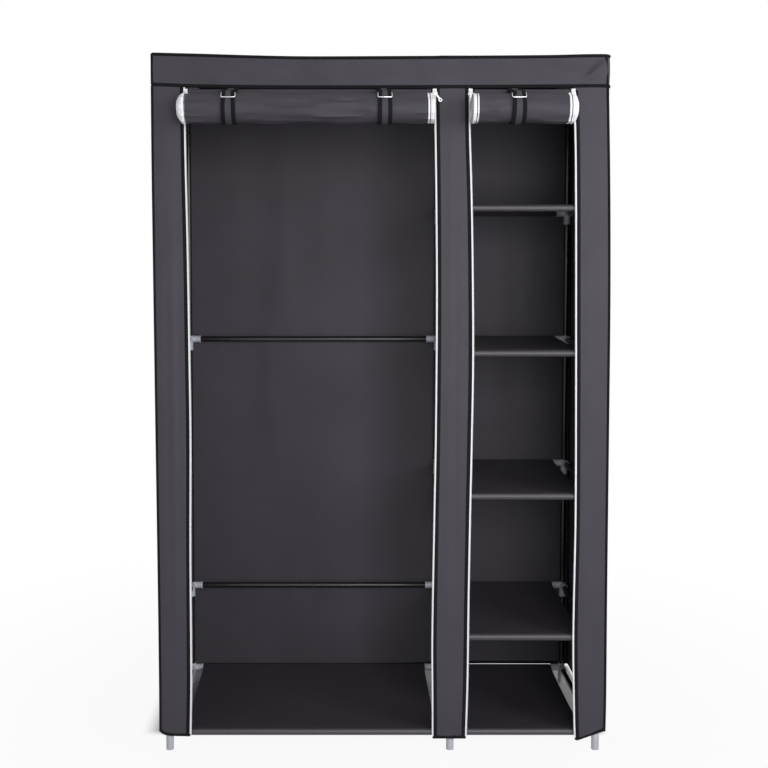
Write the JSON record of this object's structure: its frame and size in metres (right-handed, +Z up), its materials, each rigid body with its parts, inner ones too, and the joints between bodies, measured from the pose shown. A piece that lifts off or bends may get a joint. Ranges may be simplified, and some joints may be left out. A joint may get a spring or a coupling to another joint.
{
  "type": "portable fabric wardrobe",
  "caption": "Free-standing tube-frame wardrobe under a fabric cover, with a hanging bay beside a bay of cloth shelves, and zipped cloth doors rolled up in straps.",
  "frame": {"origin": "on the floor, under the middle of the part's whole box, from the fronts of the door rolls' straps to the back piping", "axes": "+Z up, +X to the right seen from the front, -Y towards the user: the doors face -Y"},
  "size_m": [1.0986, 0.5429, 1.7004],
  "materials": {
    "connector_plastic": "pale bluish grey injection-moulded plastic, satin",
    "tube_steel": "thin steel tube, glossy black paint",
    "shelf_cloth": "dark grey non-woven cloth, sleeved and stitched",
    "cover_cloth": "dark grey non-woven cloth, soft sheen",
    "binding": "black bias binding on seams and hems",
    "strap_webbing": "dark grey cloth strap with black bound edges",
    "zip_coil": "white nylon zip coil on white tape",
    "zip_slider": "die-cast zip slider, white enamel",
    "ring_wire": "bent steel wire, bright nickel plate"
  },
  "bodies": {
    "root": {"base_frame": "connector_plastic", "top_frame_left": "connector_plastic", "top_frame_middle": "connector_plastic", "top_frame_right": "connector_plastic", "column_front_left": "tube_steel", "column_front_middle": "tube_steel", "column_front_right": "tube_steel", "column_back_left": "tube_steel", "column_back_middle": "tube_steel", "column_back_right": "tube_steel", "rung_middle_1": "tube_steel", "rung_middle_2": "tube_steel", "rung_middle_3": "tube_steel", "rung_middle_4": "tube_steel", "rung_right_1": "tube_steel", "rung_right_2": "tube_steel", "rung_right_3": "tube_steel", "rung_right_4": "tube_steel", "shelf_bar_front_1": "tube_steel", "shelf_bar_front_2": "tube_steel", "shelf_bar_front_3": "tube_steel", "shelf_bar_front_4": "tube_steel", "shelf_bar_back_1": "tube_steel", "shelf_bar_back_2": "tube_steel", "shelf_bar_back_3": "tube_steel", "shelf_bar_back_4": "tube_steel", "back_bar_1": "tube_steel", "back_bar_3": "tube_steel", "hanging_rod": "tube_steel", "base_cloth_left": "shelf_cloth", "base_cloth_right": "shelf_cloth", "shelf_cloth_1": "shelf_cloth", "shelf_cloth_2": "shelf_cloth", "shelf_cloth_3": "shelf_cloth", "shelf_cloth_4": "shelf_cloth", "cover_cap": "cover_cloth", "cover_back": "cover_cloth", "cover_left_side": "cover_cloth", "cover_right_side": "cover_cloth", "cover_front_left": "cover_cloth", "cover_front_middle": "cover_cloth", "cover_front_right": "cover_cloth", "door_flap_left": "cover_cloth", "door_flap_right": "cover_cloth", "strap_1": "strap_webbing", "strap_2": "strap_webbing", "strap_3": "strap_webbing", "strap_ring_1": "ring_wire", "strap_ring_2": "ring_wire", "strap_ring_3": "ring_wire"},
    "door_left": {"door_roll_left": "cover_cloth"},
    "door_right": {"door_roll_right": "cover_cloth"},
    "zip_1": {"slider_1": "zip_slider"},
    "zip_2": {"slider_2": "zip_slider"},
    "zip_3": {"slider_3": "zip_slider"},
    "zip_4": {"slider_4": "zip_slider"},
    "pull_1": {"pull_tab_1": "zip_slider"},
    "pull_2": {"pull_tab_2": "zip_slider"},
    "pull_3": {"pull_tab_3": "zip_slider"},
    "pull_4": {"pull_tab_4": "zip_slider"}
  },
  "joints": [
    {"name": "door_left_unroll", "type": "slide", "parent": "root", "child": "door_left", "axis": [0, 0, -1], "range_m": [0, 1.49], "deforming": ["door_flap_left", "strap_1", "strap_2"]},
    {"name": "door_right_unroll", "type": "slide", "parent": "root", "child": "door_right", "axis": [0, 0, -1], "range_m": [0, 1.49], "deforming": ["door_flap_right", "strap_3"]},
    {"name": "zip_1_slide", "type": "slide", "parent": "root", "child": "zip_1", "axis": [0, 0, -1], "range_m": [0, 1.56]},
    {"name": "zip_2_slide", "type": "slide", "parent": "root", "child": "zip_2", "axis": [0.0028, 0, -1], "range_m": [0, 1.56]},
    {"name": "zip_3_slide", "type": "slide", "parent": "root", "child": "zip_3", "axis": [0, 0, -1], "range_m": [0, 1.56]},
    {"name": "zip_4_slide", "type": "slide", "parent": "root", "child": "zip_4", "axis": [0.0164, 0, -0.9999], "range_m": [0, 1.56]},
    {"name": "pull_1_hinge", "type": "hinge", "parent": "zip_1", "child": "pull_1", "pos_m": [-0.473, -0.18715, 1.6102], "axis": [-1, 0, 0], "range_deg": [0, 170]},
    {"name": "pull_2_hinge", "type": "hinge", "parent": "zip_2", "child": "pull_2", "pos_m": [0.11953, -0.18715, 1.6102], "axis": [-0.8175, 0, -0.5759], "range_deg": [0, 170]},
    {"name": "pull_3_hinge", "type": "hinge", "parent": "zip_3", "child": "pull_3", "pos_m": [0.205, -0.18715, 1.6102], "axis": [-1, 0, 0], "range_deg": [0, 170]},
    {"name": "pull_4_hinge", "type": "hinge", "parent": "zip_4", "child": "pull_4", "pos_m": [0.44914, -0.18715, 1.6102], "axis": [-0.9999, 0, -0.0164], "range_deg": [0, 170]}
  ]
}
